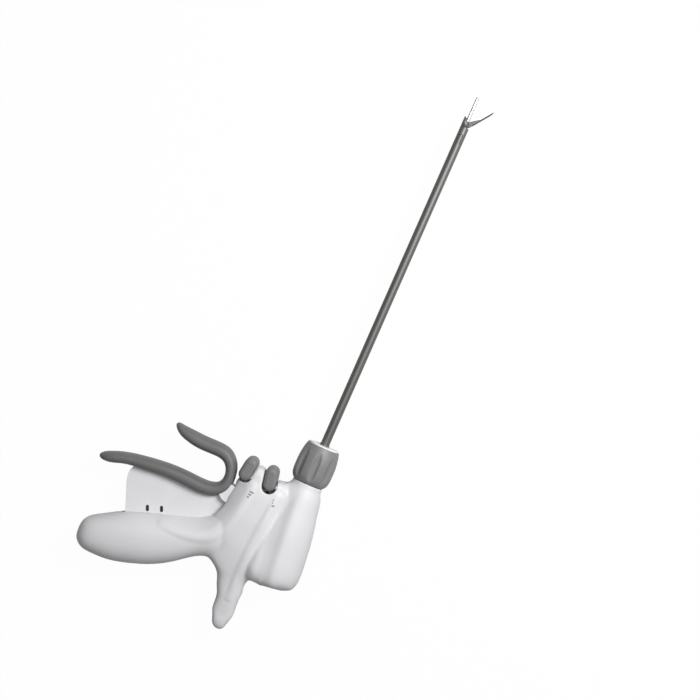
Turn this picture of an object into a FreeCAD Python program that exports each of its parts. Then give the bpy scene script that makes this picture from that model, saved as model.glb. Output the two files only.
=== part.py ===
import FreeCAD, Part
import Sketcher
import math
import os
from FreeCAD import Placement, Rotation, Vector

# Ultrasonic scalpel with pistol grip, 5.5 mm shaft and clamp jaw, in millimetres.
# X runs along the shaft to the tip, Y towards the grip, Z across the two housing halves.
# The origin is the middle of the transducer socket's mouth, on the shaft axis.

doc = FreeCAD.newDocument("ultrasonic_scalpel")
sheet = doc.addObject("Spreadsheet::Sheet", "Sizes")

SIZES = {
    # shaft
    "shaft_radius": 2.75,
    "shaft_wall": 0.35,
    "shaft_end": 304.6,
    "shaft_root_radius": 3.0,
    "shaft_root_proud": 1.2,
    "inner_tube_radius": 2.1,
    "inner_tube_wall": 0.35,
    "inner_tube_start": 35.5,
    "inner_tube_end": 299.5,
    "window_start": 294.0,
    "window_length": 6.0,
    "ear_length": 3.4,
    "ear_height": 2.5,
    "ear_relief": 0.2,
    # waveguide
    "waveguide_radius": 1.3,
    "blade_end_radius": 0.95,
    "blade_root_radius": 1.1,
    "blade_end": 325.0,
    "stud_hole_radius": 2.0,
    "stud_hole_depth": 5.0,
    "head_radius": 4.5,
    "head_start": 28.0,
    "head_length": 5.0,
    "seal_length": 1.6,
    "seal_count": 6,
    "waveguide_pin_radius": 0.6,
    "waveguide_pin_place": 80.0,
    "pin_sunk": 0.1,
    # knob
    "knob_length": 24.0,
    "knob_radius": 12.4,
    "knob_back_radius": 9.9,
    "knob_edge": 0.3,
    "knob_front_radius": 10.2,
    "flute_count": 8,
    "flute_radius": 3.0,
    "flute_depth": 1.3,
    "hub_radius": 6.95,
    "hub_flange_radius": 8.1,
    "hub_flange_length": 1.9,
    "collar_radius": 9.5,
    "collar_length": 1.5,
    "collar_proud": 0.5,
    # housing
    "wall": 2.2,
    "grip_half_width": 13.9,
    "body_half_width": 13.3,
    "barrel_radius": 19.1,
    "barrel_half_width": 16.8,
    "barrel_length": 68.0,
    "socket_radius": 9.0,
    "socket_wall": 2.0,
    "socket_depth": 27.0,
    "socket_floor": 2.0,
    "contact_length": 2.0,
    "contact_depth": 1.0,
    "contact_relief": 0.2,
    "bearing_length": 6.5,
    "bearing_radius": 8.4,
    "bearing_lip": 1.4,
    "bearing_block_half": 14.0,
    "board_place": 51.7,
    "board_top": 16.0,
    "board_bottom": 38.4,
    "board_thickness": 1.2,
    "board_half_width": 6.5,
    "dome_radius": 2.0,
    "dome_height": 0.6,
    "peg_radius": 1.3,
    "peg_length": 3.0,
    "boss_radius": 2.7,
    "button_wall": 2.4,
    "neck_top": 13.0,
    "rib_wall": 1.2,
    "rib_top": 25.5,
    "rib_bottom": 36.0,
    "corner_top": 35.0,
    "corner_low": 37.2,
    "arm_slot_back": 28.6,
    "arm_slot_front": 50.4,
    "arm_slot_top": 36.0,
    "arm_slot_bottom": 44.0,
    # buttons
    "button_length": 14.8,
    "button_height": 8.2,
    "button_half_width": 10.6,
    "button_round": 2.6,
    "button_travel": 0.8,
    "low_button_place": 62.0,
    "low_button_drop": 36.4,
    "low_button_tilt": -8.0,
    "high_button_place": 61.8,
    "high_button_drop": 21.5,
    "high_button_tilt": 12.0,
    # trigger
    "pivot_place": 43.0,
    "pivot_drop": 18.5,
    "pivot_pin_radius": 2.0,
    "pivot_pin_half": 12.0,
    "pivot_boss_radius": 5.2,
    "squeeze": 15.0,
    "fork_half_width": 9.0,
    "fork_width": 6.0,
    "fork_reach": 3.2,
    "web_thickness": 4.0,
    "arm_half_width": 5.6,
    "arm_back": 32.0,
    "lever_half_width": 8.0,
    "drive_pin_radius": 1.5,
    "stop_length": 3.9,
    "stop_width": 1.9,
    # drive collar
    "collar_groove_radius": 4.6,
    "collar_flange_radius": 7.0,
    "collar_flange_length": 2.2,
    "limiter_length": 4.2,
    "limiter_count": 4,
    "limiter_sheet": 0.4,
    "limiter_bore": 2.4,
    "limiter_radius": 5.2,
    "tube_flange_radius": 5.4,
    "tube_flange_length": 1.8,
    "return_wire": 0.6,
    "return_coil_radius": 3.0,
    "spring_seat": 20.8,
    "spring_drop": 29.5,
    "spring_seat_half": 3.9,
    # jaw
    "jaw_open": 36.0,
    "jaw_pivot_place": 306.6,
    "jaw_pivot_drop": 0.2,
    "jaw_length": 18.8,
    "jaw_half_width": 1.9,
    "jaw_lug_radius": 1.1,
    "jaw_lug_gap": 1.45,
    "jaw_lug_thickness": 0.35,
    "jaw_pin_radius": 0.45,
    "pad_length": 12.6,
    "pad_half_width": 1.5,
    "pad_thickness": 0.5,
    # clearances
    "running": 0.05,
    "gap": 0.3,
    "open_gap": 0.4,
}

DERIVED = {
    "tube_bore": "=shaft_radius - shaft_wall",
    "inner_tube_bore": "=inner_tube_radius - inner_tube_wall",
    "seal_radius": "=inner_tube_bore - running / 2",
    "bearing_start": "=barrel_length - bearing_lip - bearing_length",
    "hub_start": "=bearing_start - 2 * gap - hub_flange_length",
    "hub_flange_end": "=hub_start + hub_flange_length",
    "shaft_start": "=hub_start",
    "bearing_bore": "=hub_radius + running",
    "lip_bore": "=hub_radius + gap",
    "knob_back": "=barrel_length + gap",
    "knob_front": "=knob_back + knob_length",
    "collar_start": "=knob_front + collar_proud - collar_length",
    "fork_lift": "=squeeze / 2",
    "pin_rest": "=pivot_place - pivot_drop * sin(fork_lift)",
    "groove_half": "=drive_pin_radius + running",
    "drive_start": "=pin_rest - groove_half - collar_flange_length",
    "drive_end": "=pin_rest + groove_half + collar_flange_length",
    "limiter_end": "=drive_end + limiter_length",
    "head_end": "=head_start + head_length",
    "stud_hole_end": "=head_start + stud_hole_depth",
    "socket_end": "=socket_depth + socket_floor",
    "contact_start": "=socket_depth - contact_length",
    "contact_bore": "=socket_radius + contact_relief",
    "contact_seat": "=socket_radius + contact_depth",
    "board_front": "=board_place + board_thickness",
    "low_dome_drop": "=low_button_drop - 1.4",
    "high_dome_drop": "=high_button_drop - 1.5",
    "travel": "=2 * pivot_drop * sin(fork_lift)",
    "travel_room": "=travel + gap",
    "pin_rise": "=pivot_drop - pivot_drop * cos(fork_lift)",
    "retainer_half": "=shaft_root_radius - pin_sunk",
    "ear_radius": "=shaft_radius - ear_relief",
    "jaw_pin_half": "=ear_radius - pin_sunk",
    "shaft_root_end": "=knob_front + collar_proud + shaft_root_proud",
    "seal_first": "=head_end + 12",
    "seal_pitch": "=(inner_tube_end - 10 - seal_first) / (seal_count - 1)",
}


def fill_sheet():
    """Write every size and every worked-out size under its own name."""
    for row, (name, value) in enumerate({**SIZES, **DERIVED}.items(), start=1):
        sheet.set(f"A{row}", name)
        sheet.set(f"B{row}", str(value))
        sheet.setAlias(f"B{row}", name)
    doc.recompute()


fill_sheet()


def size(name):
    return float(getattr(sheet, name))


def bind(thing, path, formula):
    """Bind a property to a formula whose words are names on the sheet."""
    words = []
    for word in formula.split():
        known = word in SIZES or word in DERIVED
        words.append(f"<<Sizes>>.{word}" if known else word)
    thing.setExpression(path, " ".join(words))


def value_of(formula):
    """The number that such a formula gives now."""
    words = [str(size(word)) if word in SIZES or word in DERIVED else word for word in formula.split()]
    total = FreeCAD.Units.parseQuantity(" ".join(words))
    return float(total.Value)


nodes = []


def keep(label, thing):
    """Name a finished sub-part and put it on the list to write."""
    thing.Label = label
    nodes.append(thing)
    return thing


# Turned pieces: a half profile in the XY plane, revolved about the shaft axis

def new_body(label):
    body = doc.addObject("PartDesign::Body", "Body_" + label)
    return keep(label, body)


def new_sketch(body, role, name):
    sketch = body.newObject("Sketcher::SketchObject", name)
    plane = [item for item in body.Origin.OriginFeatures if item.Role == role][0]
    sketch.AttachmentSupport = (plane, [""])
    sketch.MapMode = "FlatFace"
    return sketch


def draw_profile(sketch, corners):
    """Closed outline through corners, each written as two formulas of sheet names."""
    places = [Vector(value_of(x), value_of(y), 0) for x, y in corners]
    count = len(places)
    lines = [sketch.addGeometry(Part.LineSegment(places[i], places[(i + 1) % count])) for i in range(count)]
    for i in range(count):
        sketch.addConstraint(Sketcher.Constraint("Coincident", lines[i], 2, lines[(i + 1) % count], 1))
    for i, (x, y) in enumerate(corners):
        for kind, formula, level in (("DistanceX", x, places[i].x), ("DistanceY", y, places[i].y)):
            if formula == "0":
                axis = -1 if kind == "DistanceY" else -2
                sketch.addConstraint(Sketcher.Constraint("PointOnObject", lines[i], 1, axis))
                continue
            number = sketch.addConstraint(Sketcher.Constraint(kind, -1, 1, lines[i], 1, level))
            bind(sketch, f"Constraints[{number}]", formula)


def turned(label, corners):
    """A piece turned about the shaft axis."""
    body = new_body(label)
    sketch = new_sketch(body, "XY_Plane", "Profile_" + label)
    draw_profile(sketch, corners)
    turn = body.newObject("PartDesign::Revolution", "Turn_" + label)
    turn.Profile = sketch
    turn.ReferenceAxis = (sketch, ["H_Axis"])
    turn.Angle = 360
    doc.recompute()
    return body


def cross_hole(label, place, radius):
    """Round hole along Z through a turned piece, on its axis."""
    body = doc.getObject("Body_" + label)
    sketch = new_sketch(body, "XY_Plane", "CrossHole_" + label)
    middle = Vector(value_of(place), 0, 0)
    circle = sketch.addGeometry(Part.Circle(middle, Vector(0, 0, 1), value_of(radius)))
    sketch.addConstraint(Sketcher.Constraint("PointOnObject", circle, 3, -1))
    far = sketch.addConstraint(Sketcher.Constraint("DistanceX", -1, 1, circle, 3, middle.x))
    bind(sketch, f"Constraints[{far}]", place)
    wide = sketch.addConstraint(Sketcher.Constraint("Radius", circle, value_of(radius)))
    bind(sketch, f"Constraints[{wide}]", radius)
    hole = body.newObject("PartDesign::Pocket", "Bore_" + label)
    hole.Profile = sketch
    hole.Type = "ThroughAll"
    hole.Midplane = True
    doc.recompute()


def turned_ring(label, start, end, bore, outside):
    """A plain turned ring between two stations."""
    return turned(label, [(start, bore), (end, bore), (end, outside), (start, outside)])



# Sculpted shells: smooth lofts through rounded half sections

SECTION_POINTS = 9


def half_section(place, low, high, depth, power):
    """Rounded half outline from low to high, closed by a straight line on the parting plane."""
    middle = (low + high) / 2
    reach = (high - low) / 2
    points = [place(low, 0)]
    for step in range(1, SECTION_POINTS - 1):
        angle = math.pi * step / (SECTION_POINTS - 1)
        along = math.copysign(abs(math.cos(angle)) ** (2 / power), math.cos(angle))
        points.append(place(middle - reach * along, depth * math.sin(angle) ** (2 / power)))
    points.append(place(high, 0))
    upward = place(low, 1) - place(low, 0)
    curve = Part.BSplineCurve()
    curve.interpolate(Points=points, InitialTangent=upward, FinalTangent=upward * -1, Scale=False)
    return Part.Wire([curve.toShape(), Part.makeLine(points[-1], points[0])])


def along_x(x):
    return lambda side, rise: Vector(x, side, rise)


def along_y(y):
    return lambda side, rise: Vector(side, y, rise)


# Tang, side panel and neck: place along X, upper edge, lower edge, share of the half width
SPINE = [
    (-36.0, 14.0, 16.6, 0.09),
    (-35.2, 12.2, 18.4, 0.24),
    (-33.0, 10.7, 20.4, 0.37),
    (-29.0, 9.9, 22.2, 0.45),
    (-19.0, 9.4, 23.9, 0.53),
    (-10.8, 9.6, 25.9, 0.60),
    (-4.4, 9.8, 28.8, 0.67),
    (-0.6, 9.8, 31.9, 0.73),
    (2.4, 8.0, 36.4, 0.78),
    (7.0, 3.5, 39.7, 0.85),
    (18.0, 0.5, 43.0, 0.96),
    (27.0, 0.1, 45.2, 0.99),
    (34.0, 0.0, 42.9, 1.00),
    (41.0, 0.2, 41.6, 0.98),
    (48.0, 0.5, 40.7, 0.95),
    (57.0, 3.0, 39.8, 0.86),
    (60.3, 8.0, 38.9, 0.82),
    (62.3, 16.6, 37.8, 0.77),
    (64.2, 22.6, 36.4, 0.70),
    (65.8, 27.8, 34.9, 0.55),
    (66.5, 30.6, 33.4, 0.22),
]
# Grip: place along Y, back edge, front edge, share of the half width
GRIP = [
    (117.0, -14.0, -10.5, 0.09),
    (116.2, -17.8, -7.2, 0.33),
    (114.2, -20.6, -4.2, 0.59),
    (110.5, -22.9, -1.4, 0.79),
    (104.0, -23.8, 2.5, 0.91),
    (93.0, -23.4, 8.8, 0.98),
    (80.0, -20.2, 13.6, 1.00),
    (66.0, -14.7, 18.0, 0.97),
    (55.7, -8.4, 21.4, 0.94),
    (48.5, -2.8, 25.0, 0.93),
    (43.0, 0.8, 29.8, 0.93),
    (36.0, 2.6, 36.0, 0.89),
    (22.0, 6.5, 38.0, 0.80),
]
# Barrel: place along X, shares of the upright and sideways radii
BARREL = [
    (0.0, 0.555, 0.63),
    (0.6, 0.650, 0.71),
    (2.2, 0.785, 0.82),
    (5.0, 0.905, 0.92),
    (8.5, 0.980, 0.98),
    (13.0, 1.000, 1.00),
    (21.0, 0.968, 0.98),
    (40.0, 0.838, 0.885),
    (54.0, 0.686, 0.75),
    (61.7, 0.592, 0.66),
    (68.0, 0.513, 0.583),
]


def spine_solid(inset):
    width = size("body_half_width")
    sections = [
        half_section(along_x(x), low + inset, high - inset, share * width - inset, 3.0)
        for x, low, high, share in SPINE
        if share * width > 2 * inset
    ]
    return Part.makeLoft(sections, True, False)


def grip_solid(inset):
    width = size("grip_half_width")
    sections = [
        half_section(along_y(y), back + inset, front - inset, share * width - inset, 2.3)
        for y, back, front, share in GRIP
        if share * width > 2 * inset
    ]
    return Part.makeLoft(sections, True, False)


def barrel_solid(inset):
    upright = size("barrel_radius")
    sideways = size("barrel_half_width")
    stretch = size("barrel_length") / BARREL[-1][0]
    sections = [
        half_section(along_x(x * stretch), inset - tall * upright, tall * upright - inset,
                     wide * sideways - inset, 2.0)
        for x, tall, wide in BARREL
        if x >= inset
    ]
    return Part.makeLoft(sections, True, False)


def rod(radius, start, end, middle=(0, 0), axis="X"):
    """Plain cylinder along X, or along Z where axis says so."""
    if axis == "X":
        return Part.makeCylinder(radius, end - start, Vector(start, *middle), Vector(1, 0, 0))
    return Part.makeCylinder(radius, end - start, Vector(*middle, start), Vector(0, 0, 1))


def box(x, y, z):
    """Box between three pairs of limits."""
    corner = Vector(x[0], y[0], z[0])
    return Part.makeBox(x[1] - x[0], y[1] - y[0], z[1] - z[0], corner)


def prism(corners, low, high):
    """Straight-sided outline raised from low to high."""
    points = [Vector(x, y, low) for x, y in corners]
    return Part.Face(Part.makePolygon(points + points[:1])).extrude(Vector(0, 0, high - low))


def stadium(length, height, place, tilt, low, high, back=0.0):
    """Round-ended slot outline, tilted in the XY plane and lengthened by back towards the rear."""
    radius = height / 2
    front = length / 2 - radius
    rear = -front - back
    corners = [Vector(rear, -radius, low), Vector(front, -radius, low), Vector(front, radius, low),
               Vector(rear, radius, low)]
    outline = Part.Wire([
        Part.makeLine(corners[0], corners[1]),
        Part.Arc(corners[1], Vector(front + radius, 0, low), corners[2]).toShape(),
        Part.makeLine(corners[2], corners[3]),
        Part.Arc(corners[3], Vector(rear - radius, 0, low), corners[0]).toShape(),
    ])
    shape = Part.Face(outline).extrude(Vector(0, 0, high - low))
    shape.Placement = Placement(Vector(*place, 0), Rotation(Vector(0, 0, 1), tilt))
    return shape


# Alignment pegs: places in the XY plane, each inside the walls and clear of the trigger's sweep
PEGS = [(-13.0, 105.5), (-8.5, 68.0), (-26.5, 16.3), (5.0, 22.0)]
# Where the web plate enters the grip and the neck, outside the cavity
WEB_SLOT = [(-3.5, 96.8), (10.5, 96.8), (18.0, 84.0), (25.0, 64.0), (31.0, 51.0), (40.0, 43.5), (40.0, 36.0),
            (24.0, 38.0), (12.0, 60.0), (4.0, 84.0)]
HIGH = 40.0


def button_cut(kind):
    """Pocket for one button: its own outline, the open gap around it and its travel."""
    grow = 2 * size("open_gap")
    place = (size(f"{kind}_button_place"), size(f"{kind}_button_drop"))
    return stadium(size("button_length") + grow, size("button_height") + grow, place,
                   size(f"{kind}_button_tilt"), -1, HIGH, back=size("button_travel"))


def shell_half():
    """Near half of the housing without its pegs: outer skin, cavity, seats, bosses and openings."""
    wall = size("wall")
    gap = size("gap")
    outer = spine_solid(0).fuse([grip_solid(0), barrel_solid(0)])
    for kind in ("low", "high"):
        outer = outer.cut(button_cut(kind))
    cavity = spine_solid(wall).fuse([grip_solid(wall), barrel_solid(wall)])
    front_wall = size("board_front") + size("button_wall")
    front_block = box((front_wall, HIGH * 2), (size("neck_top"), HIGH * 2), (-1, HIGH))
    hollow = cavity.cut(front_block)

    pivot = (size("pivot_place"), size("pivot_drop"))
    pivot_boss = rod(size("pivot_pin_radius") + wall, size("fork_half_width") + gap, HIGH, pivot, "Z")
    socket = rod(size("socket_radius") + size("socket_wall"), 0, size("socket_end"))
    bearing = box((size("bearing_start") - wall, HIGH * 2), (-HIGH, size("bearing_block_half")), (0, HIGH))
    seat = size("spring_seat")
    seat_middle = size("spring_drop")
    seat_half = size("spring_seat_half")
    spring_wall = box((seat - wall, seat), (seat_middle - seat_half, seat_middle + seat_half), (0, HIGH))
    rib = size("rib_wall")
    board_rib = box((size("board_place") - rib, size("board_front") + rib),
                    (size("rib_top"), size("rib_bottom")), (size("arm_half_width") + gap, HIGH))
    arm_room = size("arm_half_width") + size("open_gap")
    button_corner = box((size("board_place") - rib, HIGH * 2), (size("corner_top"), HIGH * 2), (arm_room, HIGH))
    button_floor = box((size("board_front"), HIGH * 2), (size("corner_low"), HIGH * 2), (-1, HIGH))
    inside = [pivot_boss, socket, bearing, spring_wall, board_rib, button_corner, button_floor]
    inside += [rod(size("boss_radius"), 0, HIGH, spot, "Z") for spot in PEGS]
    solid_parts = inside[0].fuse(inside[1:])
    hollow = hollow.cut(solid_parts)
    shell = outer.cut(hollow)

    below = box((-HIGH * 2, HIGH * 3), (-HIGH, HIGH * 4), (-HIGH, 0))
    cuts = [
        rod(size("contact_bore"), -HIGH, 0),
        rod(size("socket_radius"), -1, size("contact_start")),
        rod(size("contact_seat"), size("contact_start"), size("socket_depth")),
        rod(size("head_radius") + 2 * gap, 0, size("socket_end") + 1),
        rod(size("bearing_radius"), size("bearing_start") - wall - 1, size("barrel_length") - size("bearing_lip")),
        rod(size("lip_bore"), size("bearing_start"), size("barrel_length") + 1),
        rod(size("pivot_pin_radius"), 0, size("pivot_pin_half"), pivot, "Z"),
        box((size("board_place"), size("board_front")), (size("board_top"), size("board_bottom")),
            (0, size("board_half_width"))),
        box((size("arm_slot_back"), size("arm_slot_front")), (size("arm_slot_top"), size("arm_slot_bottom")),
            (0, arm_room)),
        prism(WEB_SLOT, 0, size("web_thickness") / 2 + size("open_gap")),
        below,
    ]
    for tool in cuts:
        shell = shell.cut(tool)
    return shell


def housing_halves():
    """Two moulded halves that meet at the parting plane; the left one carries the pegs."""
    half = shell_half()
    peg = size("peg_radius")
    reach = size("peg_length")
    sockets = [rod(peg + size("running"), -1, reach + size("gap"), spot, "Z") for spot in PEGS]
    pegs = [rod(peg, -reach, size("gap"), spot, "Z") for spot in PEGS]
    left = doc.addObject("Part::Feature", "HousingLeft")
    left.Shape = half.fuse(pegs)
    keep("housing_left", left)
    right = doc.addObject("Part::Feature", "HousingRight")
    right.Shape = half.cut(sockets).mirror(Vector(0, 0, 0), Vector(0, 0, 1))
    keep("housing_right", right)


housing_halves()


# Turned pieces of the shaft line

def shaft_line():
    turned_ring("front_bearing", "bearing_start", "bearing_start + bearing_length", "bearing_bore", "bearing_radius")
    turned_ring("contact_ring", "contact_start", "socket_depth", "contact_bore", "contact_seat")
    turned("drive_collar", [
        ("drive_start", "inner_tube_radius"),
        ("drive_end", "inner_tube_radius"),
        ("drive_end", "collar_flange_radius"),
        ("drive_end - collar_flange_length", "collar_flange_radius"),
        ("drive_end - collar_flange_length", "collar_groove_radius"),
        ("drive_start + collar_flange_length", "collar_groove_radius"),
        ("drive_start + collar_flange_length", "collar_flange_radius"),
        ("drive_start", "collar_flange_radius"),
    ])
    turned_ring("tube_flange", "limiter_end", "limiter_end + tube_flange_length", "inner_tube_radius",
                "tube_flange_radius")
    turned("waveguide_blade", [
        ("head_start", "stud_hole_radius"),
        ("stud_hole_end", "stud_hole_radius"),
        ("stud_hole_end + 1", "0"),
        ("blade_end", "0"),
        ("blade_end", "blade_end_radius * 0.5"),
        ("blade_end - 0.5", "blade_end_radius"),
        ("shaft_end", "blade_root_radius"),
        ("shaft_end - 3", "waveguide_radius"),
        ("head_end + 3", "waveguide_radius"),
        ("head_end", "head_radius * 0.7"),
        ("head_end - 2", "head_radius * 0.7"),
        ("head_end - 2", "head_radius"),
        ("head_start", "head_radius"),
    ])
    cross_hole("waveguide_blade", "waveguide_pin_place", "waveguide_pin_radius")


shaft_line()


def rotation_knob():
    """Turned knob with its hub and recess, then fluted all round."""
    body = turned("rotation_knob", [
        ("hub_start", "shaft_root_radius"),
        ("knob_front", "shaft_root_radius"),
        ("knob_front", "knob_front_radius - knob_edge"),
        ("knob_front - knob_edge", "knob_front_radius"),
        ("knob_front - knob_length * 0.15", "knob_radius * 0.90"),
        ("knob_front - knob_length * 0.27", "knob_radius * 0.955"),
        ("knob_front - knob_length * 0.40", "knob_radius * 0.99"),
        ("knob_front - knob_length * 0.52", "knob_radius"),
        ("knob_front - knob_length * 0.72", "knob_radius"),
        ("knob_front - knob_length * 0.84", "knob_radius * 0.97"),
        ("knob_front - knob_length * 0.93", "knob_radius * 0.90"),
        ("knob_back", "knob_back_radius"),
        ("knob_back", "hub_radius"),
        ("hub_flange_end", "hub_radius"),
        ("hub_flange_end", "hub_flange_radius"),
        ("hub_start", "hub_flange_radius"),
    ])
    recess_sketch = new_sketch(body, "XY_Plane", "RecessProfile")
    draw_profile(recess_sketch, [
        ("collar_start", "0"),
        ("knob_front + 1", "0"),
        ("knob_front + 1", "collar_radius"),
        ("collar_start", "collar_radius"),
    ])
    recess = body.newObject("PartDesign::Groove", "CollarRecess")
    recess.Profile = recess_sketch
    recess.ReferenceAxis = (recess_sketch, ["H_Axis"])
    recess.Angle = 360
    doc.recompute()

    flute_sketch = new_sketch(body, "YZ_Plane", "FluteProfile")
    middle = size("knob_radius") + size("flute_radius") - size("flute_depth")
    circle = flute_sketch.addGeometry(Part.Circle(Vector(middle, 0, 0), Vector(0, 0, 1), size("flute_radius")))
    flute_sketch.addConstraint(Sketcher.Constraint("PointOnObject", circle, 3, -1))
    far = flute_sketch.addConstraint(Sketcher.Constraint("DistanceX", -1, 1, circle, 3, middle))
    bind(flute_sketch, f"Constraints[{far}]", "knob_radius + flute_radius - flute_depth")
    wide = flute_sketch.addConstraint(Sketcher.Constraint("Radius", circle, size("flute_radius")))
    bind(flute_sketch, f"Constraints[{wide}]", "flute_radius")
    flute = body.newObject("PartDesign::Pocket", "Flute")
    flute.Profile = flute_sketch
    flute.Type = "ThroughAll"
    flute.Midplane = True
    doc.recompute()
    ring = body.newObject("PartDesign::PolarPattern", "Flutes")
    ring.Originals = [flute]
    ring.Axis = (flute_sketch, ["N_Axis"])
    ring.Angle = 360
    bind(ring, "Occurrences", "flute_count")
    body.Tip = ring
    doc.recompute()


rotation_knob()
turned_ring("knob_collar", "collar_start", "collar_start + collar_length", "shaft_root_radius", "collar_radius")


# Straight tubes, pins and cuts, as primitives bound to the sheet

def cylinder(name, radius, length, place, along="X"):
    """Cylinder with radius, length and place as formulas of sheet names."""
    thing = doc.addObject("Part::Cylinder", name)
    turn = Rotation(Vector(0, 1, 0), 90) if along == "X" else Rotation()
    thing.Placement = Placement(Vector(0, 0, 0), turn)
    bind(thing, "Radius", radius)
    bind(thing, "Height", length)
    for axis, formula in zip("xyz", place):
        if formula != "0":
            bind(thing, f"Placement.Base.{axis}", formula)
    return thing


def block(name, length, width, height, place):
    """Box with its three sizes and its low corner as formulas of sheet names."""
    thing = doc.addObject("Part::Box", name)
    bind(thing, "Length", length)
    bind(thing, "Width", width)
    bind(thing, "Height", height)
    for axis, formula in zip("xyz", place):
        bind(thing, f"Placement.Base.{axis}", formula)
    return thing


def join(name, things):
    whole = doc.addObject("Part::MultiFuse", name)
    whole.Shapes = things
    return whole


def take(name, base, tools):
    """Base less the tools."""
    result = doc.addObject("Part::Cut", name)
    result.Base = base
    result.Tool = tools[0] if len(tools) == 1 else join(name + "Tools", tools)
    return result


def outer_tube():
    """Shaft tube with a side window near its end and two ears that carry the jaw."""
    full = "shaft_end + ear_length - shaft_start"
    skin = join("TubeSkin", [
        cylinder("TubeLength", "shaft_radius", "shaft_end - shaft_start", ("shaft_start", "0", "0")),
        cylinder("TubeEars", "ear_radius", full, ("shaft_start", "0", "0")),
        cylinder("TubeRoot", "shaft_root_radius", "shaft_root_end - shaft_start", ("shaft_start", "0", "0")),
    ])
    bore = cylinder("TubeBore", "tube_bore", full + " + 2", ("shaft_start - 1", "0", "0"))
    over = block("EarOver", "ear_length + 1", "shaft_radius", "4 * shaft_radius",
                 ("shaft_end", "-1 * shaft_radius - ear_height / 2", "-2 * shaft_radius"))
    under = block("EarUnder", "ear_length + 1", "shaft_radius", "4 * shaft_radius",
                  ("shaft_end", "ear_height / 2", "-2 * shaft_radius"))
    window = block("Window", "window_length", "shaft_radius * 0.7", "2 * shaft_radius",
                   ("window_start", "-0.35 * shaft_radius", "0.3"))
    end = cylinder("WindowEnd", "shaft_radius * 0.35", "2 * shaft_radius",
                   ("window_start", "0", "0.3"), "Z")
    pin = cylinder("TubePinHole", "waveguide_pin_radius", "4 * shaft_radius",
                   ("waveguide_pin_place", "0", "-2 * shaft_radius"), "Z")
    jaw = cylinder("TubeJawHole", "jaw_pin_radius", "4 * shaft_radius",
                   ("jaw_pivot_place", "jaw_pivot_drop", "-2 * shaft_radius"), "Z")
    keep("outer_tube", take("OuterTube", skin, [bore, over, under, window, end, pin, jaw]))


def inner_tube():
    """Sliding drive tube, slotted where the waveguide pin crosses it."""
    full = "inner_tube_end - inner_tube_start"
    skin = cylinder("DriveSkin", "inner_tube_radius", full, ("inner_tube_start", "0", "0"))
    bore = cylinder("DriveBore", "inner_tube_bore", full + " + 2", ("inner_tube_start - 1", "0", "0"))
    half = "waveguide_pin_radius + gap"
    slot = block("DriveSlot", f"travel_room + 2 * {half}", f"2 * ( {half} )", "4 * shaft_radius",
                 (f"waveguide_pin_place - travel_room - {half}", f"-1 * ( {half} )", "-2 * shaft_radius"))
    keep("inner_tube", take("InnerTube", skin, [bore, slot]))


def pins():
    """Cross pins: trigger pivot, waveguide retainer, jaw pivots and the fork's drive pins."""
    keep("trigger_pin", cylinder("TriggerPin", "pivot_pin_radius", "2 * pivot_pin_half",
                                 ("pivot_place", "pivot_drop", "-1 * pivot_pin_half"), "Z"))
    keep("waveguide_pin", cylinder("WaveguidePin", "waveguide_pin_radius", "2 * retainer_half",
                                   ("waveguide_pin_place", "0", "-1 * retainer_half"), "Z"))
    jaw_length = "jaw_pin_half - jaw_lug_gap"
    near = cylinder("JawPinNear", "jaw_pin_radius", jaw_length,
                    ("jaw_pivot_place", "jaw_pivot_drop", "jaw_lug_gap"), "Z")
    far = cylinder("JawPinFar", "jaw_pin_radius", jaw_length,
                   ("jaw_pivot_place", "jaw_pivot_drop", "-1 * jaw_pin_half"), "Z")
    pair = doc.addObject("Part::Compound", "JawPins")
    pair.Links = [near, far]
    keep("jaw_pins", pair)
    drive_length = "fork_half_width - collar_groove_radius - gap"
    near = cylinder("DrivePinNear", "drive_pin_radius", drive_length,
                    ("pin_rest", "pin_rise", "collar_groove_radius + gap"), "Z")
    far = cylinder("DrivePinFar", "drive_pin_radius", drive_length,
                   ("pin_rest", "pin_rise", "-1 * fork_half_width"), "Z")
    pair = doc.addObject("Part::Compound", "DrivePins")
    pair.Links = [near, far]
    keep("drive_pins", pair)


def waveguide_seals():
    """Evenly spaced silicone rings that hold the waveguide in the middle of the drive tube."""
    rings = []
    count = int(size("seal_count"))
    for number in range(count):
        place = f"seal_first + {number} * seal_pitch"
        skin = cylinder(f"SealSkin{number}", "seal_radius", "seal_length", (place, "0", "0"))
        bore = cylinder(f"SealBore{number}", "waveguide_radius", "seal_length + 2", (place + " - 1", "0", "0"))
        rings.append(take(f"Seal{number}", skin, [bore]))
    whole = doc.addObject("Part::Compound", "Seals")
    whole.Links = rings
    keep("waveguide_seals", whole)


outer_tube()
inner_tube()
pins()
waveguide_seals()


# Buttons and the switch board behind them

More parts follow.
